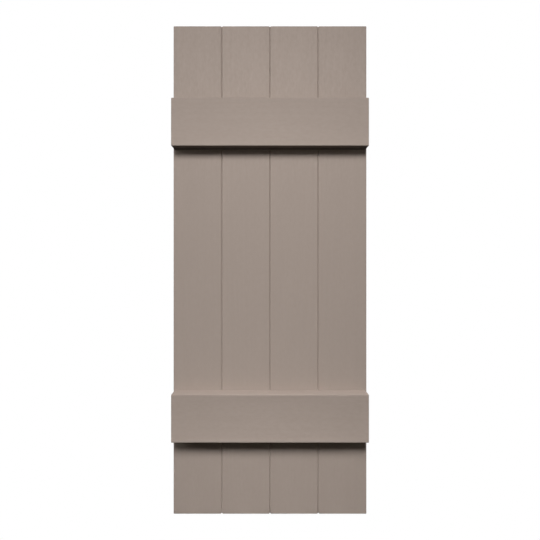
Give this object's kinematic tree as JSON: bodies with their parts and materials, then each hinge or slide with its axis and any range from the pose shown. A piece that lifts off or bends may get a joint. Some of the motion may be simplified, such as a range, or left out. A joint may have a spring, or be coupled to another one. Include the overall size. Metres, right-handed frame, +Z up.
{
  "type": "board and batten shutter",
  "caption": "Painted exterior window shutter: upright V-jointed boards joined edge to edge and carried by cross battens on the face, with a flat back that fixes to a wall.",
  "frame": {"origin": "centre of the flat back, on the wall plane, at mid-height", "axes": "+X to the right as seen from the front, +Y into the wall, +Z up; the face looks along -Y"},
  "size_m": [0.356, 0.044, 0.9],
  "materials": {
    "board_paint": "satin",
    "batten_paint": "satin",
    "screw_steel": "satin"
  },
  "bodies": {
    "root": {"board_1": "board_paint", "board_2": "board_paint", "board_3": "board_paint", "board_4": "board_paint", "upper_batten": "batten_paint", "lower_batten": "batten_paint", "upper_batten_screw_1": "screw_steel", "upper_batten_screw_2": "screw_steel", "upper_batten_screw_3": "screw_steel", "upper_batten_screw_4": "screw_steel", "upper_batten_screw_5": "screw_steel", "upper_batten_screw_6": "screw_steel", "upper_batten_screw_7": "screw_steel", "upper_batten_screw_8": "screw_steel", "lower_batten_screw_1": "screw_steel", "lower_batten_screw_2": "screw_steel", "lower_batten_screw_3": "screw_steel", "lower_batten_screw_4": "screw_steel", "lower_batten_screw_5": "screw_steel", "lower_batten_screw_6": "screw_steel", "lower_batten_screw_7": "screw_steel", "lower_batten_screw_8": "screw_steel"}
  },
  "joints": []
}
